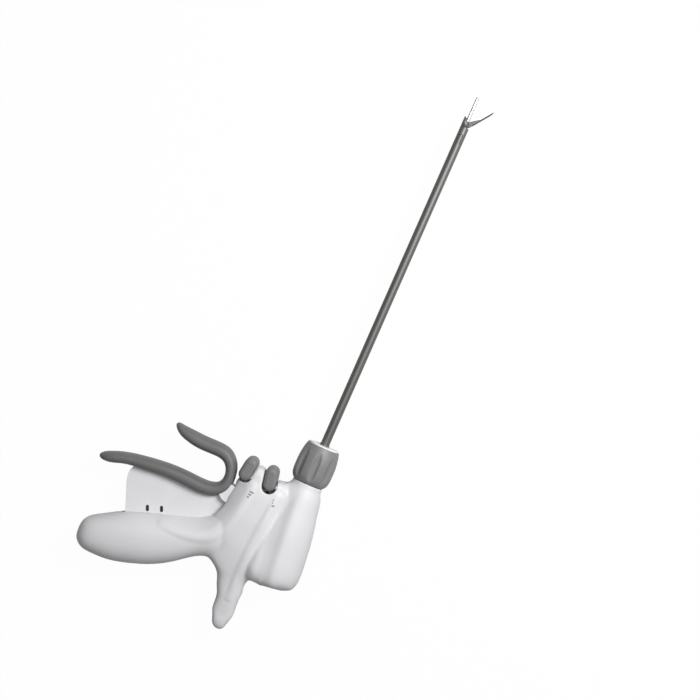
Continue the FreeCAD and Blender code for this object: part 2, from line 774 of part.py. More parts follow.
def button(kind):
    """Round-ended rubber bar across the neck: a slot pad with both rims rounded."""
    label = f"button_{kind}"
    body = new_body(label)
    sketch = new_sketch(body, "XY_Plane", "Outline_" + label)
    half = size("button_length") / 2 - size("button_height") / 2
    radius = size("button_height") / 2
    sketch.addGeometry(Part.LineSegment(Vector(-half, radius, 0), Vector(half, radius, 0)))
    sketch.addGeometry(Part.LineSegment(Vector(-half, -radius, 0), Vector(half, -radius, 0)))
    for sign in (-1, 1):
        centre = Part.Circle(Vector(sign * half, 0, 0), Vector(0, 0, 1), radius)
        start = math.pi / 2 if sign < 0 else -math.pi / 2
        sketch.addGeometry(Part.ArcOfCircle(centre, start, start + math.pi))
    joints = [(0, 1, 2, 1), (1, 1, 2, 2), (1, 2, 3, 1), (0, 2, 3, 2)]
    for joint in joints:
        sketch.addConstraint(Sketcher.Constraint("Tangent", *joint))
    sketch.addConstraint(Sketcher.Constraint("Horizontal", 0))
    sketch.addConstraint(Sketcher.Constraint("Symmetric", 2, 3, 3, 3, -1, 1))
    wide = sketch.addConstraint(Sketcher.Constraint("DistanceX", 2, 3, 3, 3, 2 * half))
    bind(sketch, f"Constraints[{wide}]", "button_length - button_height")
    tall = sketch.addConstraint(Sketcher.Constraint("Radius", 2, radius))
    bind(sketch, f"Constraints[{tall}]", "button_height / 2")
    pad = body.newObject("PartDesign::Pad", "Pad_" + label)
    pad.Profile = sketch
    pad.Midplane = True
    bind(pad, "Length", "2 * button_half_width")
    doc.recompute()
    rims = []
    for number, edge in enumerate(pad.Shape.Edges, start=1):
        box_of = edge.BoundBox
        if box_of.ZLength < 0.01:
            rims.append(f"Edge{number}")
    rim = body.newObject("PartDesign::Fillet", "Rim_" + label)
    rim.Base = (pad, rims)
    bind(rim, "Radius", "button_round")
    body.Placement = Placement(Vector(0, 0, 0), Rotation(Vector(0, 0, 1), size(f"{kind}_button_tilt")))
    bind(body, "Placement.Base.x", f"{kind}_button_place")
    bind(body, "Placement.Base.y", f"{kind}_button_drop")
    doc.recompute()


button("low")
button("high")


def switch_board():
    """Circuit board across the neck with a dome switch behind each button."""
    keep("switch_board", block("SwitchBoard", "board_thickness", "board_bottom - board_top",
                               "2 * board_half_width", ("board_place", "board_top", "-1 * board_half_width")))
    domes = []
    for kind in ("low", "high"):
        cap = doc.addObject("Part::Cone", f"Dome_{kind}")
        cap.Placement = Placement(Vector(0, 0, 0), Rotation(Vector(0, 1, 0), 90))
        bind(cap, "Radius1", "dome_radius")
        bind(cap, "Radius2", "dome_radius * 0.5")
        bind(cap, "Height", "dome_height")
        bind(cap, "Placement.Base.x", "board_front")
        bind(cap, "Placement.Base.y", f"{kind}_dome_drop")
        domes.append(cap)
    pair = doc.addObject("Part::Compound", "Domes")
    pair.Links = domes
    keep("dome_switches", pair)


switch_board()


# Trigger: white core with web, arm and fork, and the grey overmoulded hook

# Hook: middle of the bar, thickness, share of the lever's half width
HOOK = [
    (33.1, 122.9, 1.4, 0.30),
    (33.3, 121.2, 4.4, 0.65),
    (34.0, 118.0, 6.3, 0.85),
    (36.8, 109.6, 7.1, 0.97),
    (39.4, 95.5, 7.8, 1.00),
    (40.9, 80.0, 8.3, 1.00),
    (40.7, 66.0, 8.6, 1.00),
    (40.6, 56.5, 8.4, 1.00),
    (42.5, 49.6, 8.0, 1.00),
    (47.0, 45.7, 7.4, 1.00),
    (53.5, 45.2, 6.8, 1.00),
    (60.0, 47.6, 7.4, 1.00),
    (64.0, 52.4, 8.3, 1.00),
    (65.0, 59.0, 8.6, 1.00),
    (64.9, 68.5, 8.6, 1.00),
    (65.8, 77.0, 7.8, 0.95),
    (67.2, 83.0, 5.8, 0.80),
    (68.8, 86.2, 3.4, 0.55),
    (69.6, 87.4, 1.2, 0.28),
]
HOOK_POWER = 2.5
HOOK_POINTS = 16


def hook_solid():
    """Loft of rounded sections square to the hook's middle line."""
    width = size("lever_half_width")
    sections = []
    for i, (x, y, thickness, share) in enumerate(HOOK):
        before = HOOK[max(i - 1, 0)]
        after = HOOK[min(i + 1, len(HOOK) - 1)]
        along = Vector(after[0] - before[0], after[1] - before[1], 0).normalize()
        side = Vector(-along.y, along.x, 0)
        points = []
        for step in range(HOOK_POINTS):
            angle = 2 * math.pi * step / HOOK_POINTS
            out = math.copysign(abs(math.cos(angle)) ** (2 / HOOK_POWER), math.cos(angle))
            rise = math.copysign(abs(math.sin(angle)) ** (2 / HOOK_POWER), math.sin(angle))
            points.append(Vector(x, y, 0) + side * (out * thickness / 2) + Vector(0, 0, rise * share * width))
        curve = Part.BSplineCurve()
        curve.interpolate(Points=points, PeriodicFlag=True)
        sections.append(Part.Wire(curve.toShape()))
    return Part.makeLoft(sections, True, False)


# Web plate between hook and grip; its back edge stays in the grip's slot
WEB = [(38.0, 99.0), (34.4, 101.4), (32.2, 102.4), (29.5, 102.6), (24.7, 101.5), (19.6, 99.5), (9.0, 95.4), (3.6, 92.8), (7.6, 84.0),
       (11.2, 74.5), (14.4, 64.5), (17.6, 56.4), (21.2, 48.8), (25.2, 42.4), (30.0, 36.0), (38.0, 22.0),
       (47.0, 22.0), (48.4, 36.0), (49.4, 44.0), (44.0, 47.0), (41.0, 56.0), (41.0, 80.0)]
# Thick arm that carries the hook and takes the return spring
ARM = [(size("arm_back"), 35.0), (size("arm_back"), 26.6), (38.0, 20.0), (47.2, 21.0), (48.2, 34.0), (49.2, 45.0), (41.0, 47.0),
       (38.6, 44.0), (37.0, 38.0)]
STOPS = [(14.95, 83.25, 23.5), (17.85, 75.15, 23.5)]


def stop_slot(x, y, tilt, low, high):
    return stadium(size("stop_length"), size("stop_width"), (x, y), tilt, low, high)


def trigger():
    hook = hook_solid()
    web_half = size("web_thickness") / 2
    arm_half = size("arm_half_width")
    pivot = (size("pivot_place"), size("pivot_drop"))
    fork = size("fork_half_width")
    gap = size("gap")
    lift = size("fork_lift")
    prong_width = size("fork_width")
    prongs = box((-prong_width / 2, prong_width / 2), (-size("pivot_drop") - size("fork_reach"), 0), (-fork, fork))
    prongs.Placement = Placement(Vector(*pivot, 0), Rotation(Vector(0, 0, 1), -lift))
    boss = rod(size("pivot_boss_radius"), -fork, fork, pivot, "Z")
    clear = size("collar_flange_radius") + gap
    between = box((0, 2 * HIGH), (-HIGH, clear + prong_width * math.sin(math.radians(lift))),
                  (-clear - size("running"), clear + size("running")))
    web = prism(WEB, -web_half, web_half)
    arm = prism(ARM, -arm_half, arm_half)
    core = web.fuse([arm, boss, prongs.cut(between)])
    slots = [stop_slot(*stop, -HIGH, HIGH) for stop in STOPS]
    pin_hole = rod(size("pivot_pin_radius") + size("running"), -HIGH, HIGH, pivot, "Z")
    drive_hole = rod(size("drive_pin_radius"), -HIGH, HIGH, (size("pin_rest"), size("pin_rise")), "Z")
    core = core.cut([hook, between, pin_hole, drive_hole] + slots).removeSplitter()
    core_thing = doc.addObject("Part::Feature", "TriggerCore")
    core_thing.Shape = core
    keep("trigger_core", core_thing)
    hook_thing = doc.addObject("Part::Feature", "TriggerGrip")
    hook_thing.Shape = hook
    keep("trigger_grip", hook_thing)
    stops = doc.addObject("Part::Feature", "WebStops")
    stops.Shape = Part.makeCompound([stop_slot(*stop, -web_half, web_half) for stop in STOPS])
    keep("web_stops", stops)


trigger()


# Springs: round wire swept along a helix, and a stack of coned washers

def coil(wire, radius, start, end, turns, middle=(0, 0)):
    """Compression spring along X between two faces, resting against both."""
    inset = wire / 2
    pitch = (end - start - 2 * inset) / turns
    helix = Part.makeHelix(pitch, pitch * turns, radius)
    profile = Part.Wire(Part.makeCircle(wire / 2, Vector(radius, 0, 0), Vector(0, 1, 0)))
    spring = Part.Wire(helix).makePipeShell([profile], True, True)
    spring.Placement = Placement(Vector(start + inset, *middle), Rotation(Vector(0, 1, 0), 90))
    return spring


def disc_springs():
    """Coned washers stacked in turn, touching at their rims and at their bores."""
    count = int(size("limiter_count"))
    rise = size("limiter_length") / count
    sheet_metal = size("limiter_sheet")
    bore = size("limiter_bore")
    rim = size("limiter_radius")
    discs = []
    for number in range(count):
        near = size("drive_end") + number * rise
        far = near + rise
        if number % 2:
            corners = [(near, rim), (near + sheet_metal, rim), (far, bore), (far - sheet_metal, bore)]
        else:
            corners = [(near, bore), (near + sheet_metal, bore), (far, rim), (far - sheet_metal, rim)]
        points = [Vector(x, y, 0) for x, y in corners]
        section = Part.Face(Part.makePolygon(points + points[:1]))
        discs.append(section.revolve(Vector(0, 0, 0), Vector(1, 0, 0), 360))
    return Part.makeCompound(discs)


def springs():
    limiter = doc.addObject("Part::Feature", "LimiterSpring")
    limiter.Shape = disc_springs()
    keep("limiter_spring", limiter)
    back = doc.addObject("Part::Feature", "ReturnSpring")
    back.Shape = coil(size("return_wire"), size("return_coil_radius"), size("spring_seat"), size("arm_back"), 5.0,
                      (size("spring_drop"), 0))
    keep("return_spring", back)


springs()


# Clamp arm and its pad, drawn closed about the pivot and turned open

JAW_TURN = Placement(Vector(size("jaw_pivot_place"), size("jaw_pivot_drop"), 0),
                     Rotation(Vector(0, 0, 1), -size("jaw_open")))


def clamp_jaw():
    """Curved arm on two lugs that straddle the waveguide, with a soft pad along its inside."""
    half = size("jaw_half_width")
    seat = -size("blade_root_radius") - size("gap") - size("pad_thickness") - size("jaw_pivot_drop")
    back = -size("shaft_radius") - size("jaw_pivot_drop")
    length = size("jaw_length")
    lug = size("jaw_lug_radius")
    inner = size("jaw_lug_gap")
    outside = inner + size("jaw_lug_thickness")
    outline = [(-0.4, -1.0), (2.2, back), (length - 4.0, back), (length - 1.2, back + 0.25), (length, seat + 0.1),
               (length - 0.3, seat), (4.4, seat), (3.6, seat + 0.9), (1.0, 0.6)]
    arm = prism(outline, -half, half)
    lugs = rod(lug, -outside, outside, (0, 0), "Z")
    heel = prism([(-0.9, -0.7), (1.6, back), (4.0, back), (4.0, seat), (1.0, 0.7)], -outside, outside)
    arm = arm.cut(box((-3, 4.0), (-5, 5), (-5, 5))).fuse([lugs, heel])
    rounding = rod(size("shaft_radius"), -2 * lug, length + 1, (-size("jaw_pivot_drop"), 0))
    arm = arm.common(rounding)
    room = box((-3, 3.4), (-5, 5), (-inner, inner))
    hole = rod(size("jaw_pin_radius") + size("running"), -HIGH, HIGH, (0, 0), "Z")
    arm = arm.cut([room, hole]).removeSplitter()
    thing = doc.addObject("Part::Feature", "ClampArm")
    thing.Shape = arm
    thing.Placement = JAW_TURN
    keep("clamp_arm", thing)
    pad_end = length - 1.0
    pad_half = size("pad_half_width")
    pad = box((pad_end - size("pad_length"), pad_end), (seat, seat + size("pad_thickness")), (-pad_half, pad_half))
    cover = doc.addObject("Part::Feature", "ClampPad")
    cover.Shape = pad
    cover.Placement = JAW_TURN
    keep("clamp_pad", cover)


clamp_jaw()

doc.recompute()
for thing in nodes:
    broken = [word for word in thing.State if word in ("Invalid", "Error")]
    if broken or thing.Shape.isNull() or not thing.Shape.isValid():
        raise RuntimeError(f"{thing.Label} did not build: {thing.State}")
    print(thing.Label, round(thing.Shape.Volume, 1), len(thing.Shape.Solids))
os.makedirs("parts", exist_ok=True)
for thing in nodes:
    thing.Shape.exportStep(f"parts/{thing.Label}.step")
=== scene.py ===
import bpy
import math
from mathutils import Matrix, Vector


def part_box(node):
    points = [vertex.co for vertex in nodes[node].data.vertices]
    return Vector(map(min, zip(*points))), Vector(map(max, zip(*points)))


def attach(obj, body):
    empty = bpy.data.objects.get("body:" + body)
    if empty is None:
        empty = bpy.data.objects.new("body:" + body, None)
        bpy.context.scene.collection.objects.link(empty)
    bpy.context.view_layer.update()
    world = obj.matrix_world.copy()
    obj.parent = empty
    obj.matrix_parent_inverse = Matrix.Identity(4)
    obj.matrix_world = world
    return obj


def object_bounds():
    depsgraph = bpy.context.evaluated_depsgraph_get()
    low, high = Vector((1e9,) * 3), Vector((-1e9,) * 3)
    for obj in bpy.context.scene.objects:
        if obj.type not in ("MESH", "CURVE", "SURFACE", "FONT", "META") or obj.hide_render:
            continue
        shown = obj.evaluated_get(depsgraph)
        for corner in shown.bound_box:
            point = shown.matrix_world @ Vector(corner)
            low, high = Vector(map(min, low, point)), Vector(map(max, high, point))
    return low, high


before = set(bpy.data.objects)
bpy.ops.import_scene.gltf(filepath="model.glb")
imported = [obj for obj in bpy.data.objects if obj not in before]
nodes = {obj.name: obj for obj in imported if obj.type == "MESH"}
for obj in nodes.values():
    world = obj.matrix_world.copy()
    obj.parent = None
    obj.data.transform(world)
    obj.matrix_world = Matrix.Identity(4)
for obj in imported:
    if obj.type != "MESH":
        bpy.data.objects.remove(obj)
size_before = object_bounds()

# Camera
# The instrument lies on its side and is seen from straight above, with the shaft rising to the
# right. The view is a little wider than the instrument is long.
SHAFT_RISE = math.radians(66.2)
VIEW_CENTRE = Vector((0.15264, 0.00925, 0.0))
VIEW_WIDTH = 0.427
VIEW_DISTANCE = 0.76
SENSOR_WIDTH = 36.0

camera_data = bpy.data.cameras.new("camera")
camera_data.sensor_width = SENSOR_WIDTH
camera_data.lens = SENSOR_WIDTH * VIEW_DISTANCE / VIEW_WIDTH
camera = bpy.data.objects.new("camera", camera_data)
camera.location = VIEW_CENTRE + Vector((0, 0, VIEW_DISTANCE))
camera.rotation_euler = (0, 0, -SHAFT_RISE)
bpy.context.collection.objects.link(camera)
bpy.context.scene.camera = camera
bpy.context.scene.view_settings.view_transform = "Standard"
image_right = Vector((math.cos(SHAFT_RISE), -math.sin(SHAFT_RISE), 0))
image_up = Vector((math.sin(SHAFT_RISE), math.cos(SHAFT_RISE), 0))

# Studio
# A pale sheet under the object, which looks nearly white and still takes the object's shadow. Two
# soft lamps stand above it, in a room that is dim but looks white.
FLOOR_REACH = 1.5
FLOOR_TONE = 0.25
FLOOR_GLOW = 1.06
FLOOR_WHITE_SHARE = 0.92
WORLD_STRENGTH = 0.13


def new_material(name):
    """Empty node material and its node tree."""
    material = bpy.data.materials.new(name)
    material.use_nodes = True
    material.node_tree.nodes.clear()
    return material, material.node_tree


def combined(tree, operation, first, second=None, kind="ShaderNodeMath"):
    """Socket that holds a sum, product or the like of a socket and another socket or value."""
    node = tree.nodes.new(kind)
    node.operation = operation
    tree.links.new(first, node.inputs[0])
    if isinstance(second, bpy.types.NodeSocket):
        tree.links.new(second, node.inputs[1])
    elif second is not None:
        node.inputs[1].default_value = second
    return node.outputs[0]


def faded(tree, source, start, end, low=0.0, high=1.0, way="LINEAR"):
    """Socket that goes from low to high while the source socket goes from start to end."""
    fade = tree.nodes.new("ShaderNodeMapRange")
    fade.interpolation_type = way
    fade.inputs["From Min"].default_value = start
    fade.inputs["From Max"].default_value = end
    fade.inputs["To Min"].default_value = low
    fade.inputs["To Max"].default_value = high
    tree.links.new(source, fade.inputs["Value"])
    return fade.outputs[0]


def new_piece(name, points, faces):
    """Object in the scene with a mesh of these points and faces."""
    mesh = bpy.data.meshes.new(name)
    mesh.from_pydata(points, [], faces)
    piece = bpy.data.objects.new(name, mesh)
    bpy.context.collection.objects.link(piece)
    return piece


floor_level = size_before[0][2]
corners = [(VIEW_CENTRE.x + sx * FLOOR_REACH, VIEW_CENTRE.y + sy * FLOOR_REACH, floor_level)
           for sx, sy in ((-1, -1), (1, -1), (1, 1), (-1, 1))]
floor = new_piece("floor", corners, [(0, 1, 2, 3)])
floor_material, tree = new_material("floor_paper")
output = tree.nodes.new("ShaderNodeOutputMaterial")
paper = tree.nodes.new("ShaderNodeBsdfDiffuse")
paper.inputs["Color"].default_value = (FLOOR_TONE, FLOOR_TONE, FLOOR_TONE, 1)
glow = tree.nodes.new("ShaderNodeEmission")
glow.inputs["Color"].default_value = (1, 1, 1, 1)
glow.inputs["Strength"].default_value = FLOOR_GLOW
rays = tree.nodes.new("ShaderNodeLightPath")
seen = combined(tree, "MAXIMUM", rays.outputs["Is Camera Ray"], rays.outputs["Is Transmission Ray"])
seen = combined(tree, "MAXIMUM", seen, rays.outputs["Is Glossy Ray"])
mix = tree.nodes.new("ShaderNodeMixShader")
tree.links.new(combined(tree, "MULTIPLY", seen, FLOOR_WHITE_SHARE), mix.inputs["Fac"])
tree.links.new(paper.outputs[0], mix.inputs[1])
tree.links.new(glow.outputs[0], mix.inputs[2])
tree.links.new(mix.outputs[0], output.inputs["Surface"])
floor.data.materials.append(floor_material)

world = bpy.data.worlds.new("room")
bpy.context.scene.world = world
world.use_nodes = True
sky = world.node_tree.nodes["Background"]
sky.inputs["Color"].default_value = (1, 1, 1, 1)
sky_rays = world.node_tree.nodes.new("ShaderNodeLightPath")
sky_strength = faded(world.node_tree, sky_rays.outputs["Is Camera Ray"], 0.0, 1.0, low=WORLD_STRENGTH)
world.node_tree.links.new(sky_strength, sky.inputs["Strength"])

# name, way in the image (right, up), height, width of the lamp, watts
LAMPS = (
    ("key", 0.38, 0.20, 0.58, 0.30, 5.4),
    ("top", 0.10, 0.12, 1.00, 0.50, 2.4),
)
LAMP_AIM_DROP = 0.08
for name, right, up, height, width, watts in LAMPS:
    lamp_data = bpy.data.lights.new(name, "AREA")
    lamp_data.size = width
    lamp_data.energy = watts
    lamp = bpy.data.objects.new(name, lamp_data)
    lamp.location = VIEW_CENTRE + image_right * right + image_up * up + Vector((0, 0, height))
    aim = VIEW_CENTRE - image_up * LAMP_AIM_DROP - lamp.location
    lamp.rotation_euler = aim.to_track_quat("-Z", "Y").to_euler()
    bpy.context.collection.objects.link(lamp)

# Housing
# Two injection-moulded halves of off-white plastic, pressed together along the parting plane.
# Their finish is a fine spark-eroded satin with slight mottling, and their sharp edges are made lighter by
# a painted highlight.
SHELL_WHITE = (0.72, 0.72, 0.735)
SHELL_VOXEL = 0.0006
SHELL_PASSES = 8
# clouds and smears to the metre, the noise levels between which the colour changes, the sharpness
# between which an edge gets its painted highlight, and how far the gloss varies either way
CLOUD_SCALE = 90.0
SMEAR_SCALE = 260.0
CLOUD_LEVELS = (0.3, 0.7)
EDGE_HIGHLIGHT_LEVELS = (0.52, 0.62)
GLOSS_SPREAD = 0.12


def noise(tree, place, scale, detail):
    """Socket with a cloudy pattern, with as many clouds to the metre as its scale says."""
    cloud = tree.nodes.new("ShaderNodeTexNoise")
    cloud.inputs["Scale"].default_value = scale
    cloud.inputs["Detail"].default_value = detail
    tree.links.new(place, cloud.inputs["Vector"])
    return cloud.outputs["Fac"]


def shaded(colour, factor):
    """The colour made lighter or darker by a factor, with an alpha of 1."""
    return (*[min(channel * factor, 1) for channel in colour], 1)


def moulded(name, colour, roughness, grain, grain_depth, mottle=0.03, edge_highlight=0.24, metallic=0.0,
            stretch=(1.0, 1.0, 1.0)):
    """Node material with mottled colour, uneven gloss, fine surface grain and a painted highlight on sharp
    edges.

    grain is the size of the surface grain and grain_depth its height, both in metres. mottle and the
    edge share are how far the mottling and the painted highlight on sharp edges differ from the colour.
    """
    material, tree = new_material(name)
    make = tree.nodes.new
    join = tree.links.new
    output = make("ShaderNodeOutputMaterial")
    surface = make("ShaderNodeBsdfPrincipled")
    join(surface.outputs[0], output.inputs["Surface"])
    surface.inputs["Metallic"].default_value = metallic
    spread = make("ShaderNodeMapping")
    spread.inputs["Scale"].default_value = stretch
    join(make("ShaderNodeTexCoord").outputs["Object"], spread.inputs["Vector"])
    place = spread.outputs[0]

    tone = make("ShaderNodeValToRGB")
    for number, factor in enumerate((1 - mottle, 1 + mottle)):
        tone.color_ramp.elements[number].position = CLOUD_LEVELS[number]
        tone.color_ramp.elements[number].color = shaded(colour, factor)
    join(noise(tree, place, CLOUD_SCALE, detail=4.0), tone.inputs["Fac"])
    # Sharp edges, found by their pointiness, are made lighter: a painted highlight.
    geometry = make("ShaderNodeNewGeometry")
    edge_lit = make("ShaderNodeMix")
    edge_lit.data_type = "RGBA"
    edge_lit.inputs["B"].default_value = shaded(colour, 1 + edge_highlight)
    join(faded(tree, geometry.outputs["Pointiness"], *EDGE_HIGHLIGHT_LEVELS), edge_lit.inputs["Factor"])
    join(tone.outputs["Color"], edge_lit.inputs["A"])
    join(edge_lit.outputs["Result"], surface.inputs["Base Color"])

    smear = noise(tree, place, SMEAR_SCALE, detail=3.0)
    gloss = faded(tree, smear, 0.0, 1.0, roughness * (1 - GLOSS_SPREAD), roughness * (1 + GLOSS_SPREAD))
    join(gloss, surface.inputs["Roughness"])
    relief = make("ShaderNodeBump")
    relief.inputs["Strength"].default_value = 1.0
    relief.inputs["Distance"].default_value = grain_depth
    join(noise(tree, place, 1.0 / grain, detail=2.0), relief.inputs["Height"])
    join(relief.outputs[0], surface.inputs["Normal"])
    return material


def dress(names, material):
    """Give the CAD nodes this material alone."""
    for name in names:
        mesh = nodes[name].data
        mesh.materials.clear()
        mesh.materials.append(material)


def soften(name, voxel, passes):
    """Even out a moulded node's facets and creases, as a mould's hand-blended steel does."""
    remesh = nodes[name].modifiers.new("even", "REMESH")
    remesh.mode = "VOXEL"
    remesh.voxel_size = voxel
    remesh.use_smooth_shade = True
    smooth = nodes[name].modifiers.new("blend", "SMOOTH")
    smooth.factor = 0.5
    smooth.iterations = passes


GUIDE_STEPS = 24
SPOT_FULL_SHARE = 0.3


def vector_socket(sockets):
    """The first vector socket among a node's inputs or outputs."""
    return next(socket for socket in sockets if socket.type == "VECTOR")


def guide_distance(tree, guide, flat):
    """Socket with the distance of a place in the XY plane from a guide line."""
    whole = tree.nodes.new("GeometryNodeJoinGeometry")
    for curve in guide:
        line = tree.nodes.new("GeometryNodeCurvePrimitiveBezierSegment")
        line.inputs["Resolution"].default_value = GUIDE_STEPS
        for socket, (x, y) in zip(("Start", "Start Handle", "End Handle", "End"), curve):
            line.inputs[socket].default_value = (x, y, 0)
        tree.links.new(line.outputs[0], whole.inputs[0])
    thread = tree.nodes.new("GeometryNodeCurveToMesh")
    tree.links.new(whole.outputs[0], thread.inputs["Curve"])
    near = tree.nodes.new("GeometryNodeProximity")
    near.target_element = "EDGES"
    tree.links.new(thread.outputs[0], near.inputs[0])
    tree.links.new(flat, vector_socket(near.inputs))
    return near.outputs["Distance"]


def spot_share(tree, flat, x, y, reach):
    """Socket that is 1 about a spot in the XY plane and fades to 0 at its reach."""
    away = tree.nodes.new("ShaderNodeVectorMath")
    away.operation = "DISTANCE"
    away.inputs[1].default_value = (x, y, 0)
    tree.links.new(flat, away.inputs[0])
    return faded(tree, away.outputs["Value"], reach * SPOT_FULL_SHARE, reach, 1.0, 0.0, "SMOOTHSTEP")


def evened(tree, place, share, passes):
    """Socket with the way that a point moves in the XY plane as the shell about it is rounded off."""
    even = tree.nodes.new("GeometryNodeBlurAttribute")
    even.data_type = "FLOAT_VECTOR"
    even.inputs["Iterations"].default_value = passes
    tree.links.new(place, vector_socket(even.inputs))
    tree.links.new(share, even.inputs["Weight"])
    change = combined(tree, "SUBTRACT", vector_socket(even.outputs), place, "ShaderNodeVectorMath")
    return combined(tree, "MULTIPLY", change, (1, 1, 0), "ShaderNodeVectorMath")


def moved(tree, shell, offset):
    """Socket with the shell after its points are moved by the offset."""
    move = tree.nodes.new("GeometryNodeSetPosition")
    tree.links.new(shell, move.inputs["Geometry"])
    tree.links.new(offset, move.inputs["Offset"])
    return move.outputs[0]


def relief_modifier(name, features, shifts, blends):
    """Geometry nodes that raise and hollow a shell's sides and round off its outline.

    A feature follows a guide line of one or more curves with four control points each. Its other
    values are its height, its half width and the two distances from the parting plane between
    which it fades in, all in metres.
    A shift moves the shell about a spot: its place, its reach and the way that its middle moves.
    A blend rounds off the shell's outline about a spot: its place, its reach and its passes. It leaves
    every point at its height, so the halves still meet at the parting plane.
    """
    tree = bpy.data.node_groups.new(name, "GeometryNodeTree")
    for way in ("INPUT", "OUTPUT"):
        tree.interface.new_socket("Geometry", in_out=way, socket_type="NodeSocketGeometry")
    make = tree.nodes.new
    join = tree.links.new
    shell = make("NodeGroupInput").outputs[0]
    place = make("GeometryNodeInputPosition").outputs[0]
    parts = make("ShaderNodeSeparateXYZ")
    join(place, parts.inputs[0])
    level = make("ShaderNodeCombineXYZ")
    join(parts.outputs["X"], level.inputs["X"])
    join(parts.outputs["Y"], level.inputs["Y"])
    flat = level.outputs[0]
    depth = combined(tree, "ABSOLUTE", parts.outputs["Z"])
    side = combined(tree, "SIGN", parts.outputs["Z"])

    total = None
    for guide, rise, half_width, fade_from, fade_to in features:
        away = guide_distance(tree, guide, flat)
        fall = faded(tree, away, 0.0, half_width, rise, 0.0, "SMOOTHERSTEP")
        fade = faded(tree, depth, fade_from, fade_to, way="SMOOTHSTEP")
        share = combined(tree, "MULTIPLY", fall, fade)
        total = share if total is None else combined(tree, "ADD", total, share)
    outwards = make("ShaderNodeCombineXYZ")
    join(combined(tree, "MULTIPLY", total, side), outwards.inputs["Z"])
    shell = moved(tree, shell, outwards.outputs[0])
    for x, y, reach, shift_x, shift_y in shifts:
        way = make("ShaderNodeVectorMath")
        way.operation = "SCALE"
        way.inputs[0].default_value = (shift_x, shift_y, 0)
        join(spot_share(tree, flat, x, y, reach), way.inputs["Scale"])
        shell = moved(tree, shell, way.outputs[0])
    for x, y, reach, passes in blends:
        shell = moved(tree, shell, evened(tree, place, spot_share(tree, flat, x, y, reach), passes))
    join(shell, make("NodeGroupOutput").inputs[0])
    return tree


# Raised crest from the upper button to the tang, broad hollow between it and the barrel, and the
# crest with its hollow that frames the front of the neck and the grip.
UPPER_CREST = (((0.054, 0.0125), (0.036, 0.0155), (0.014, 0.0178), (-0.014, 0.0155)),)
BARREL_HOLLOW = (((0.062, 0.0098), (0.044, 0.0075), (0.020, 0.0050), (-0.004, 0.0020)),)
FRONT_CREST = (
    ((0.054, 0.0300), (0.040, 0.0305), (0.026, 0.0325), (0.0185, 0.0378)),
    ((0.0185, 0.0378), (0.0130, 0.0415), (0.0095, 0.0540), (0.0120, 0.0710)),
)
FRONT_HOLLOW = (
    ((0.051, 0.0375), (0.042, 0.0385), (0.032, 0.0395), (0.0250, 0.0440)),
    ((0.0250, 0.0440), (0.0190, 0.0475), (0.0150, 0.0570), (0.0200, 0.0730)),
)
# guide line, height, half width, distances from the parting plane between which it fades in
HOUSING_RELIEF = (
    (UPPER_CREST, 0.0008, 0.0042, 0.006, 0.009),
    (BARREL_HOLLOW, -0.0016, 0.0085, 0.0095, 0.0125),
    (FRONT_CREST, 0.0006, 0.0045, 0.005, 0.008),
    (FRONT_HOLLOW, -0.0010, 0.0058, 0.0025, 0.0065),
)
# The tang's outer side and the barrel's rear lobe sit a little further in, and the shell is rounded
# off at the tang's end, in the notch beside the tang and in the notch before the upper button.
# place, reach, way that the middle moves
HOUSING_SHIFTS = (
    (-0.0260, 0.0255, 0.0080, 0.0004, -0.0014),
    (-0.0030, -0.0020, 0.0095, 0.0014, 0.0),
    (-0.0004, -0.0110, 0.0085, 0.0013, 0.0),
    (0.0620, 0.0115, 0.0060, 0.0012, 0.0006),
)
# place, reach, passes
HOUSING_BLENDS = (
    (-0.0270, 0.0210, 0.0150, 60),
    (-0.0010, 0.0105, 0.0090, 90),
    (0.0620, 0.0110, 0.0060, 60),
    (-0.0020, 0.0315, 0.0100, 60),
    (-0.0010, -0.0080, 0.0100, 50),
)
housing_relief = relief_modifier("housing_relief", HOUSING_RELIEF, HOUSING_SHIFTS, HOUSING_BLENDS)

shell_white = moulded("shell_white", SHELL_WHITE, roughness=0.52, grain=0.00045, grain_depth=0.000012,
                      mottle=0.012, edge_highlight=0.12)
dress(("housing_left", "housing_right"), shell_white)
for half in ("housing_left", "housing_right"):
    soften(half, SHELL_VOXEL, SHELL_PASSES)
    carved = nodes[half].modifiers.new("relief", "NODES")
    carved.node_group = housing_relief

# Level marks
# Grey pad-printed bars beside the buttons, one long bar and two dots for the low level and a rising
# set for the high one, a few hundredths of a millimetre thick and lying on the left half.
MARK_GREY = (0.20, 0.20, 0.205)
MARK_WIDTH = 0.0009
MARK_PITCH = 0.0017
MARK_LIFT = 0.00005
MARK_STEPS = 8
MARK_PRINT_HEIGHT = 0.05
HIGH_MARK_LENGTHS = (0.0012, 0.0019, 0.0026)
LOW_MARK_LENGTHS = (0.0018, 0.0006, 0.0006)


def printed_bars(name, corner, turn, lengths):
    """Thin bars printed on the near half: corner is the foot of the first, turn the way they follow."""
    graph = bpy.context.evaluated_depsgraph_get()
    skin = nodes["housing_left"].evaluated_get(graph)
    along = Vector((math.cos(turn), math.sin(turn), 0))
    upright = Vector((math.sin(turn), -math.cos(turn), 0))
    points = []
    faces = []
    for number, length in enumerate(lengths):
        first = len(points)
        for step in range(MARK_STEPS + 1):
            for edge in (-0.5, 0.5):
                spot = Vector((*corner, 0)) + along * (number * MARK_PITCH + edge * MARK_WIDTH)
                spot += upright * length * step / MARK_STEPS
                above = spot + Vector((0, 0, MARK_PRINT_HEIGHT))
                place = skin.ray_cast(above, Vector((0, 0, -1)))[1]
                points.append(place + Vector((0, 0, MARK_LIFT)))
        for step in range(MARK_STEPS):
            a = first + 2 * step
            faces.append((a, a + 2, a + 3, a + 1))
    bars = new_piece(name, points, faces)
    bars.data.materials.append(mark_ink)
    thick = bars.modifiers.new("ink", "SOLIDIFY")
    thick.thickness = MARK_LIFT * 2
    thick.offset = 0.0
    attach(bars, "housing")


